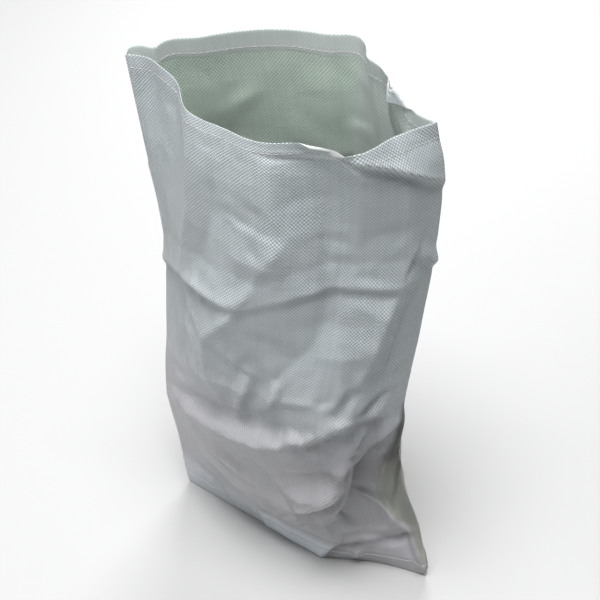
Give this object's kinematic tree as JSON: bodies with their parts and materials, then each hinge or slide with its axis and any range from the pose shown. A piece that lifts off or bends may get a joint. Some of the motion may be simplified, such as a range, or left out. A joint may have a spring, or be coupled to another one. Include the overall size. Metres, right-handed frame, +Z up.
{
  "type": "rubble sack",
  "caption": "Open white woven plastic sack standing empty on its folded, sewn bottom, with a hemmed mouth, creased walls and one flat corner pointing forward.",
  "frame": {"origin": "on the floor under the middle of the sack, on its flat bottom", "axes": "+Z up to the open mouth, -Y towards the sewn bottom edge, +X towards the flat corner that points out"},
  "size_m": [0.429, 0.3313, 0.8089],
  "materials": {
    "woven_cloth": "woven flat polypropylene tapes with a soft gloss, off-white and slightly translucent",
    "sewing_thread": "white twisted sewing thread"
  },
  "bodies": {
    "root": {"sack_body": "woven_cloth", "hem_stitching": "sewing_thread", "base_stitching": "sewing_thread"}
  },
  "joints": []
}
